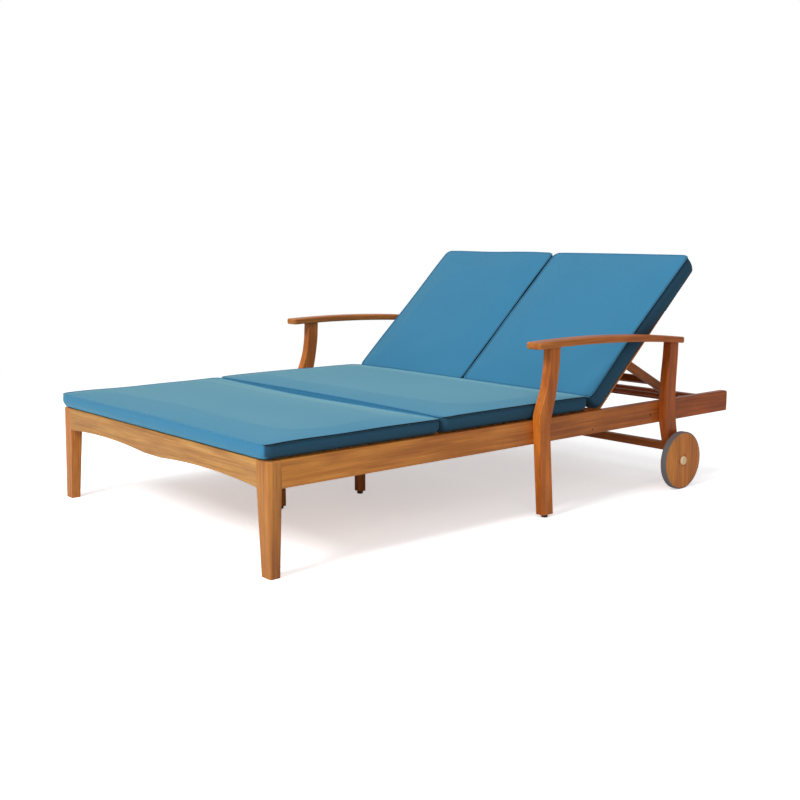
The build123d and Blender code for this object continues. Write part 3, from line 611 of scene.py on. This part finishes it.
def uneven(seed):
    """Slow unevenness of a filling over its panel: three sine waves at seeded headings, less a corner droop.

    Each wave has 1 to 2.2 half turns from the middle to the edge; the droop is the amount times (u v)^8.
    """
    amount = settings("lounger_cushions").unevenness
    generator = np.random.default_rng(seed)
    headings = generator.uniform(0, np.pi, 3)
    phases = generator.uniform(0, 2 * np.pi, 3)
    counts = generator.uniform(1.0, 2.2, 3)

    def shape(u, v):
        waves = sum(np.sin(np.pi * count * (u * np.cos(heading) + v * np.sin(heading)) + phase)
                    for heading, phase, count in zip(headings, phases, counts))
        return amount * waves / 3 - amount * u ** 8 * v ** 8
    return shape


PIPING_SIDES = 8


def piping(name, cushion, seam, lift, radius):
    """The corded edge: a tube along a seam of the cushion, with as many rings as the seam has points."""
    line = coordinates(cushion.data)[seam] + np.array([0, 0, lift])
    return grid_object(name, tube_points(tube_spaced(line, len(seam)), radius, PIPING_SIDES), close_rows=True)


def tube_spaced(path, count):
    """A closed path with evenly spaced points, by length along it."""
    closed = np.concatenate([path, path[:1]])
    steps = np.concatenate([[0], np.cumsum(np.linalg.norm(np.diff(closed, axis=0), axis=1))])
    wanted = np.linspace(0, steps[-1], count, endpoint=False)
    return np.stack([np.interp(wanted, steps, closed[:, k]) for k in range(3)], axis=1)


def tube_points(path, radius, around):
    """Rings round a closed path: at each point, a circle across the direction of the path."""
    forward = np.roll(path, -1, axis=0) - np.roll(path, 1, axis=0)
    forward /= np.linalg.norm(forward, axis=1, keepdims=True)
    side = np.cross(forward, [0.0, 0.0, 1.0])
    side /= np.linalg.norm(side, axis=1, keepdims=True)
    up = np.cross(side, forward)
    turn = np.linspace(0, 2 * np.pi, around, endpoint=False)[:, None]
    return path[:, None] + radius * (side[:, None] * np.cos(turn) + up[:, None] * np.sin(turn))


def place_flat(piece, centre):
    """Moves a piece's points from about the origin to a place."""
    set_coordinates(piece.data, coordinates(piece.data) + np.array(centre))


FLARE_BELOW_MIDDLE = 0.2


def flared(piece, side, half_x, half_y):
    """Widens a back cushion above the armrests: its outer side moves out by the flare.

    The flare starts below the middle, at that share of the half length, and grows over one half length as
    3 r^2 - 2 r^3; across the cushion it grows from the inner side.
    """
    points = coordinates(piece.data)
    outer = 1 if side == "right" else -1
    rise = np.clip(points[:, 1] / half_y + FLARE_BELOW_MIDDLE, 0, 1)
    share = (1 + outer * points[:, 0] / half_x) / 2
    points[:, 0] += outer * settings("lounger_cushions").flare * share * rise * rise * (3 - 2 * rise)
    set_coordinates(piece.data, points)


def place_on_back(piece, centre_x, along, across):
    """Moves a piece's points on to a backrest: Y runs up the backrest, Z out of its front."""
    angle = settings("lounger_cushions").back_angle
    points = coordinates(piece.data)
    s = points[:, 1] + along
    h = points[:, 2] + across
    y = HINGE.y + s * math.cos(angle) - h * math.sin(angle)
    z = HINGE.z + s * math.sin(angle) + h * math.cos(angle)
    set_coordinates(piece.data, np.stack([points[:, 0] + centre_x, y, z], axis=1))


# Where the painted shade lies on a cushion's borders, and how strongly.
NEAR_RIM = 0.9
ABOVE_BORDER = 1.2
SHADE_CORNER = 40 * MM
SHADE_FROM = 0.45
SHADE_OVER = 0.2
END_GAIN = 1.6


def paint_border_shade(piece, half_x, half_y, side):
    """Marks the painted shade on a cushion: long sides, a back cushion's lower end, a seat cushion's ends near the
    corners.

    The share rises from 0 to 1 as 3 s^2 - 2 s^3, with the normal's X near a side's rim, and with its Y, taken
    stronger, near an end's. A hood has its long sides alone.
    """
    normals = np.abs(vertex_normals(piece.data))
    points = coordinates(piece.data)
    out = np.where(np.abs(points[:, 0]) > half_x * NEAR_RIM, normals[:, 0], 0.0)
    end = np.where(np.abs(points[:, 1]) > half_y * NEAR_RIM, END_GAIN * normals[:, 1], 0.0)
    if piece.name.startswith("back_pad"):
        end[points[:, 1] > 0] = 0
    else:
        end[np.abs(points[:, 0]) < half_x - SHADE_CORNER] = 0
    if piece.name.startswith("foot"):
        end[points[:, 1] < 0] = 0
    if "hood" not in piece.name:
        out = np.maximum(out, end)
    share = np.clip((out - SHADE_FROM) / SHADE_OVER, 0, 1)
    share = share * share * (3 - 2 * share)
    share[points[:, 2] > side * ABOVE_BORDER] = 0
    mark_painted_shade(piece.data, share)


def paint_cord_shade(piece, half_x, corner):
    """Marks a painted shadow on the outer half of a cord where it runs along the long sides.

    The share grows with the way into the corner's radius, and with the outward share of the normal.
    """
    x = coordinates(piece.data)[:, 0]
    outward = np.sign(x) * vertex_normals(piece.data)[:, 0]
    along_side = np.clip((np.abs(x) - half_x + corner) / corner * 2 - 0.6, 0, 1)
    mark_painted_shade(piece.data, along_side * np.clip(outward * 3 - 0.4, 0, 1))


def finish_soft(piece, node, body, material):
    """Hands a soft piece to the frame."""
    piece.data.materials.append(material)
    smooth(piece)
    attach(piece, body)
    if node:
        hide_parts(node)


def one_cushion(node, half_x, half_y, side, under, shape, body, move):
    """A puffed cushion with its two corded edges, made about the origin and then moved to its place."""
    cushions = settings("lounger_cushions")
    fabric = settings("lounger_fabric")
    seam_x = half_x - cushions.inset
    seam_y = half_y - cushions.inset
    pad, bottom, top = cushion_body(node.replace("cushion", "pad"), seam_x, seam_y, side, under, shape)
    puffed(pad, np.concatenate([bottom, top]), side)
    cords = [piping(f"{node}_{edge}_piping", pad, seam, lift, fabric.piping_radius)
             for edge, seam, lift in (("top", top, 0.0), ("bottom", bottom, fabric.piping_radius))]
    # Painted shade on the long sides, a back cushion's lower end and a seat cushion's ends near the corners.
    paint_border_shade(pad, half_x, half_y, side)
    move(pad)
    rounder = pad.modifiers.new("rounder", "SUBSURF")
    rounder.levels = 1
    rounder.render_levels = 1
    finish_soft(pad, node, body, canvas(f"{node}_canvas", fabric.shaded_side_blue))
    # The cords' outer halves along the long sides take the cord blue as a painted shadow.
    shaded_cord_cloth = canvas(f"{node}_cord_canvas", fabric.shaded_cord_blue)
    for cord, inward in zip(cords, (0.0, under[0])):
        paint_cord_shade(cord, seam_x - inward, cushions.corner)
        move(cord)
        finish_soft(cord, None, body, shaded_cord_cloth)


# Operators

ALONG_Y = ("side_rail", "centre_beam", "slat_ledgers", "prop_racks", "armrest")
ALONG_Z = ("front_leg", "arm_front_leg", "arm_rear_leg", "centre_leg", "wheel_disc", "arm_dowels")
ALONG_BACK = ("back_stile", "prop_cleats")
ALONG_PROP = ("prop_strut",)
QUARTER = math.pi / 2
PROP_LEAN = math.radians(26.665)

# The centre and the radius of each knot, in metres.
KNOTS = {
    "arm_front_leg_right": [((0.620, 0.012, 0.452), 9 * MM)],
    "side_rail_right": [((0.605, 0.545, 0.262), 7 * MM), ((0.605, 0.245, 0.245), 5 * MM)],
    "armrest_right": [((0.636, 0.145, 0.528), 5 * MM)],
}

# The own tone of some boards, as a factor on red, green and blue; on the far side rail and the centre beam it is
# painted shade, on the armrests partly painted light. The first start that fits counts.
TONES_AND_PAINTED_LIGHT = {
    "foot_apron": (0.99, 1.2, 1.7),
    # The far side rail is darkened as painted shade.
    "side_rail_left": (0.75, 0.75, 0.75),
    "side_rail": (1.15, 1.15, 1.1),
    "front_leg_left": (1.15, 1.1, 1.4),
    "front_leg": (0.9, 0.88, 1.0),
    # The armrests are lightened partly as painted light on their front ends.
    "armrest": (1.2, 1.2, 1.1),
    "arm_front_leg": (1.35, 1.2, 0.8),
    "arm_rear_leg": (1.1, 1.0, 0.8),
    "wheel_disc": (1.85, 2.5, 2.1),
    "wheel_stretcher": (1.35, 1.6, 1.8),
    "back_stile": (1.5, 1.7, 1.4),
    "prop_strut": (1.1, 1.35, 1.3),
    # The centre beam is darkened as painted shade.
    "centre_beam": (0.7, 0.7, 0.7),
}


def board_turn(node):
    """The turn that brings a board's length to local X."""
    if node.startswith(ALONG_Y):
        return (0, 0, -QUARTER)
    if node.startswith(ALONG_Z):
        return (0, QUARTER, 0)
    if node.startswith(ALONG_BACK):
        return (-settings("lounger_cushions").back_angle, 0, -QUARTER)
    if node.startswith(ALONG_PROP):
        return (PROP_LEAN, 0, -QUARTER)
    return (0, 0, 0)


class LOUNGER_OT_wood(bpy.types.Operator):
    """Gives each board its own length of oiled hardwood"""
    bl_idname = "lounger.wood"
    bl_label = "Finish the boards"

    def execute(self, context):
        slots = {part["node"]: part["material_slot"] for part in frame["record"]["subparts"]}
        generator = np.random.default_rng(7)
        for node in sorted(frame["nodes"]):
            if slots[node] != "oiled_hardwood":
                continue
            shift = tuple(generator.uniform(-3, 3, 3))
            tint = next((tone for start, tone in TONES_AND_PAINTED_LIGHT.items() if node.startswith(start)), WHITE[:3])
            knots = KNOTS.get(node, ())
            wood = oiled_hardwood(f"oiled_hardwood_{node}", board_turn(node), shift, knots, tint)
            for slot in frame["nodes"][node].material_slots:
                slot.material = wood
        return {"FINISHED"}


class LOUNGER_OT_fittings(bpy.types.Operator):
    """Gives the bolts, glides, bushes, caps and tyres their finishes"""
    bl_idname = "lounger.fittings"
    bl_label = "Finish the fittings"

    def execute(self, context):
        finishes = {
            "zinc_plated_steel": plated_steel(),
            "cap_plastic": moulded("ivory_polypropylene", "#FFE2B0", 0.25),
            "dark_plastic": moulded("brown_polyethylene", "#3B302A", 0.5),
            "tyre_rubber": moulded("grey_tyre_rubber", "#787273", 0.6),
        }
        for part in frame["record"]["subparts"]:
            if part["material_slot"] in finishes:
                for slot in frame["nodes"][part["node"]].material_slots:
                    slot.material = finishes[part["material_slot"]]
        return {"FINISHED"}


BOW_FROM = 0.2
FOOT_SEED, MID_SEED, BACK_SEED = 1, 2, 11


def towards_edge(v):
    """A square rise from 0 at the bow's start to 1 at the edge."""
    return np.clip(v - BOW_FROM, 0, 1) ** 2 / (1 - BOW_FROM) ** 2


def foot_shape(u, v):
    """The foot cushion's rear edge is pressed down in its middle and stands up at its ends.

    The change is the bow's first length times u^2, less its second, times a square rise towards that edge.
    """
    ends, drop = settings("lounger_cushions").foot_bow
    return uneven(FOOT_SEED)(u, v) + (ends * u ** 2 - drop) * towards_edge(v)


def mid_shape(u, v):
    """The mid cushion's front edge stands up between its corners, by the bow times (1 - u^2).

    A square rise towards that edge scales it.
    """
    bow = settings("lounger_cushions").mid_bow
    return uneven(MID_SEED)(u, v) + bow * (1 - u ** 2) * towards_edge(-v)


class LOUNGER_OT_seat_cushions(bpy.types.Operator):
    """Makes the foot cushion and the mid cushion"""
    bl_idname = "lounger.seat_cushions"
    bl_label = "Make the seat cushions"

    def execute(self, context):
        cushions = settings("lounger_cushions")
        for node, side, shape in (("foot_cushion", cushions.foot_side, foot_shape),
                                  ("mid_cushion", cushions.mid_side, mid_shape)):
            low, high = (Vector(corner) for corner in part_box(node))
            if node == "foot_cushion":
                low.y -= cushions.overhang
            centre = ((low.x + high.x) / 2, (low.y + high.y) / 2, low.z)
            size = high - low
            one_cushion(node, size.x / 2, size.y / 2, side, cushions.seat_under, shape, "frame",
                        lambda piece, centre=centre: place_flat(piece, centre))
        return {"FINISHED"}


class LOUNGER_OT_back_cushions(bpy.types.Operator):
    """Makes the two back cushions"""
    bl_idname = "lounger.back_cushions"
    bl_label = "Make the back cushions"

    def execute(self, context):
        cushions = settings("lounger_cushions")
        middle = cushions.back_start + cushions.back_length / 2
        for number, side in enumerate(SIDES):
            low, high = (Vector(corner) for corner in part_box(f"back_cushion_{side}"))
            if side == "right":
                low.x -= cushions.lean
            else:
                high.x -= cushions.lean
            half_x = (high.x - low.x) / 2

            def move(piece, side=side, x=(low.x + high.x) / 2, half_x=half_x):
                flared(piece, side, half_x, cushions.back_length / 2)
                place_on_back(piece, x, middle, cushions.frame_front)

            one_cushion(f"back_cushion_{side}", half_x, cushions.back_length / 2, cushions.back_side,
                        cushions.back_under, uneven(BACK_SEED + number), f"backrest_{side}", move)
        return {"FINISHED"}


class LOUNGER_OT_hoods(bpy.types.Operator):
    """Makes the fabric pockets over the backrests' top ends"""
    bl_idname = "lounger.hoods"
    bl_label = "Make the hoods"

    def execute(self, context):
        cushions = settings("lounger_cushions")
        fabric = settings("lounger_fabric")
        for side in SIDES:
            low, high = (Vector(corner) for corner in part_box(f"cushion_hood_{side}"))
            half_x = (high.x - low.x) / 2
            hood = hood_skin(f"back_hood_{side}", half_x)
            # Painted shade on the hood's long sides.
            paint_border_shade(hood, half_x, 0.0, 1.0)
            place_on_back(hood, (low.x + high.x) / 2, 0.0, 0.0)
            finish_soft(hood, f"cushion_hood_{side}", f"backrest_{side}",
                        canvas(f"hood_{side}_canvas", fabric.shaded_side_blue))
        return {"FINISHED"}


HOOD_AROUND = 160
HOOD_ROWS = 24
HOOD_CAP_ROWS = 8
HOOD_SQUARENESS = 14
HOOD_CAP_FROM = 0.2
HOOD_END_TAPER = 0.012


def hood_skin(name, half_x):
    """A pocket: a squared oval carried up the backrest, closed over its top end by a quarter round.

    Its front wall meets the cushion's back, and its rear wall lies on the frame's rear face and hangs out by
    the sag, as a half sine along it times one less the square of the share across. Its mouth is open.
    """
    cushions = settings("lounger_cushions")
    front_gap, rear_gap, end_gap = cushions.hood_gap
    front = cushions.frame_front - front_gap
    rear = front - cushions.frame_depth - rear_gap
    end = cushions.frame_length + end_gap
    start = cushions.frame_length - cushions.hood_length
    across, depth = squared_oval(np.linspace(0, 2 * np.pi, HOOD_AROUND, endpoint=False), HOOD_SQUARENESS)
    across = across[None]
    depth = depth[None]
    cap = np.linspace(HOOD_CAP_FROM, QUARTER, HOOD_CAP_ROWS)
    rise = np.concatenate([np.linspace(0, 1, HOOD_ROWS), np.ones(HOOD_CAP_ROWS)])[:, None]
    close = np.concatenate([np.ones(HOOD_ROWS), np.cos(cap)])[:, None]
    lift = np.concatenate([np.zeros(HOOD_ROWS), np.sin(cap)])[:, None]
    closed = np.where(close < 1e-6, 0.0, 1.0)
    sag = cushions.hood_sag * np.sin(np.pi * rise) * (1 - across ** 2)
    x = half_x * across * (1 - HOOD_END_TAPER * lift) * closed
    h = (front + rear) / 2 + (front - rear) / 2 * depth * close - sag * (depth < 0)
    s = start + (end - start - end_gap) * rise + end_gap * lift + 0 * x
    return grid_object(name, np.stack([x, s, h], axis=-1))


SENSOR_WIDTH = 36
FLOOR_REACH = 30.0

# Each lamp's place, what it looks at, and its size, in metres.
LAMPS = {
    "key": ((0.8, -5.3, 4.2), (0.0, -0.1, 0.3), 1.9),
    "top": ((0.0, -0.3, 4.2), (0.0, -0.1, 0.3), 3.0),
    "fill": ((4.0, -2.6, 2.4), (0.3, 0.0, 0.3), 2.2),
}


class LOUNGER_OT_stage(bpy.types.Operator):
    """Sets up the floor, the lamps, the surroundings and the camera"""
    bl_idname = "lounger.stage"
    bl_label = "Set up the stage"

    def execute(self, context):
        stage = settings("lounger_stage")
        scene = context.scene
        scene.view_settings.view_transform = "Standard"
        make_floor(stage)
        make_world(stage)
        for name, (place, target, size) in LAMPS.items():
            soft_lamp(f"{name}_lamp", place, target, size, getattr(stage, f"{name}_energy"))
        camera = bpy.data.cameras.new("camera")
        camera.lens = stage.camera_lens
        camera.sensor_width = SENSOR_WIDTH
        view = bpy.data.objects.new("camera", camera)
        view.location = stage.camera_place
        view.rotation_euler = (QUARTER - stage.camera_down, 0, stage.camera_turn)
        scene.collection.objects.link(view)
        scene.camera = view
        return {"FINISHED"}


def make_floor(stage):
    """A wide pale floor that keeps the object's shadow.

    To the camera an extra grey and a plain glow are added, so that open floor is white, and far out it is
    all white; to every other ray it is diffuse.
    """
    corners = np.array([[-1, -1, 0], [1, -1, 0], [1, 1, 0], [-1, 1, 0]]) * FLOOR_REACH
    floor = new_piece("floor", corners, np.array([[0, 1, 2, 3]]))
    material, tree, shader = blank_material("painted_floor")
    shader.inputs["Base Color"].default_value = (0.9, 0.92, 0.94, 1.0)
    shader.inputs["Roughness"].default_value = 1.0
    shader.inputs["Specular IOR Level"].default_value = 0.0
    lift = add(tree, "ShaderNodeEmission", Strength=stage.floor_glow, Color=WHITE)
    extra = add(tree, "ShaderNodeBsdfDiffuse", Color=grey(stage.floor_extra))
    near = add(tree, "ShaderNodeAddShader", {0: lift.outputs[0], 1: extra.outputs[0]})
    near = add(tree, "ShaderNodeAddShader", {0: near.outputs[0], 1: shader.outputs[0]})
    white = add(tree, "ShaderNodeEmission", Strength=1.0, Color=WHITE)
    place = add(tree, "ShaderNodeTexCoord").outputs["Object"]
    far = add(tree, "ShaderNodeVectorMath", {0: place}, operation="LENGTH").outputs["Value"]
    share = add(tree, "ShaderNodeMapRange", {"Value": far}, interpolation_type="SMOOTHSTEP",
                From_Min=stage.white_from, From_Max=stage.white_to, To_Min=0.0, To_Max=1.0).outputs["Result"]
    seen = add(tree, "ShaderNodeMixShader", {0: share, 1: near.outputs[0], 2: white.outputs[0]})
    camera = add(tree, "ShaderNodeLightPath").outputs["Is Camera Ray"]
    mix = add(tree, "ShaderNodeMixShader", {0: camera, 1: shader.outputs[0], 2: seen.outputs[0]})
    tree.links.new(tree.nodes["Material Output"].inputs["Surface"], mix.outputs[0])
    floor.data.materials.append(material)


def make_world(stage):
    """Plain surroundings: an even light, brighter in reflections, and white to the camera."""
    world = bpy.data.worlds.new("surroundings")
    world.use_nodes = True
    bpy.context.scene.world = world
    tree = world.node_tree
    tree.nodes.clear()
    path = add(tree, "ShaderNodeLightPath")
    camera = path.outputs["Is Camera Ray"]
    through = path.outputs["Is Transmission Ray"]
    seen = add(tree, "ShaderNodeMath", {0: camera, 1: through}, operation="MAXIMUM").outputs[0]
    even = add(tree, "ShaderNodeBackground", Color=WHITE, Strength=stage.sky).outputs[0]
    white = add(tree, "ShaderNodeBackground", Color=WHITE, Strength=1.0).outputs[0]
    bright = add(tree, "ShaderNodeBackground", Color=WHITE, Strength=stage.glossy_sky).outputs[0]
    mix = add(tree, "ShaderNodeMixShader", {0: path.outputs["Is Glossy Ray"], 1: even, 2: bright})
    mix = add(tree, "ShaderNodeMixShader", {0: seen, 1: mix.outputs[0], 2: white})
    add(tree, "ShaderNodeOutputWorld", {"Surface": mix.outputs[0]})


def soft_lamp(name, place, target, size, energy):
    """A square area lamp that looks at a target."""
    lamp = bpy.data.lights.new(name, "AREA")
    lamp.size = size
    lamp.energy = energy
    holder = bpy.data.objects.new(name, lamp)
    holder.location = place
    holder.rotation_euler = (Vector(target) - Vector(place)).to_track_quat("-Z", "Y").to_euler()
    bpy.context.scene.collection.objects.link(holder)


class LOUNGER_PT_panel(bpy.types.Panel):
    """Lists the lounger's steps and settings"""
    bl_idname = "LOUNGER_PT_panel"
    bl_label = "Lounger"
    bl_space_type = "VIEW_3D"
    bl_region_type = "UI"
    bl_category = "Lounger"

    def draw(self, context):
        for name in GROUPS:
            group = getattr(context.scene, name)
            box = self.layout.box()
            for key in group.bl_rna.properties.keys():
                if key not in ("rna_type", "name"):
                    box.prop(group, key)
        for step in STEPS:
            self.layout.operator(step.bl_idname)


GROUPS = {
    "lounger_wood": WoodSettings,
    "lounger_fabric": FabricSettings,
    "lounger_cushions": CushionSettings,
    "lounger_stage": StageSettings,
}
STEPS = (LOUNGER_OT_wood, LOUNGER_OT_fittings, LOUNGER_OT_seat_cushions, LOUNGER_OT_back_cushions,
         LOUNGER_OT_hoods, LOUNGER_OT_stage)


def register():
    """Registers the settings, the steps and the panel."""
    for cls in (*GROUPS.values(), *STEPS, LOUNGER_PT_panel):
        bpy.utils.register_class(cls)
    for name, cls in GROUPS.items():
        setattr(bpy.types.Scene, name, bpy.props.PointerProperty(type=cls))


def unregister():
    """Takes away what register added."""
    for name in GROUPS:
        delattr(bpy.types.Scene, name)
    for cls in reversed((*GROUPS.values(), *STEPS, LOUNGER_PT_panel)):
        bpy.utils.unregister_class(cls)


def main():
    """Registers the classes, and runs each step."""
    register()
    bpy.ops.lounger.wood()
    bpy.ops.lounger.fittings()
    bpy.ops.lounger.seat_cushions()
    bpy.ops.lounger.back_cushions()
    bpy.ops.lounger.hoods()
    bpy.ops.lounger.stage()


if __name__ == "__main__":
    main()
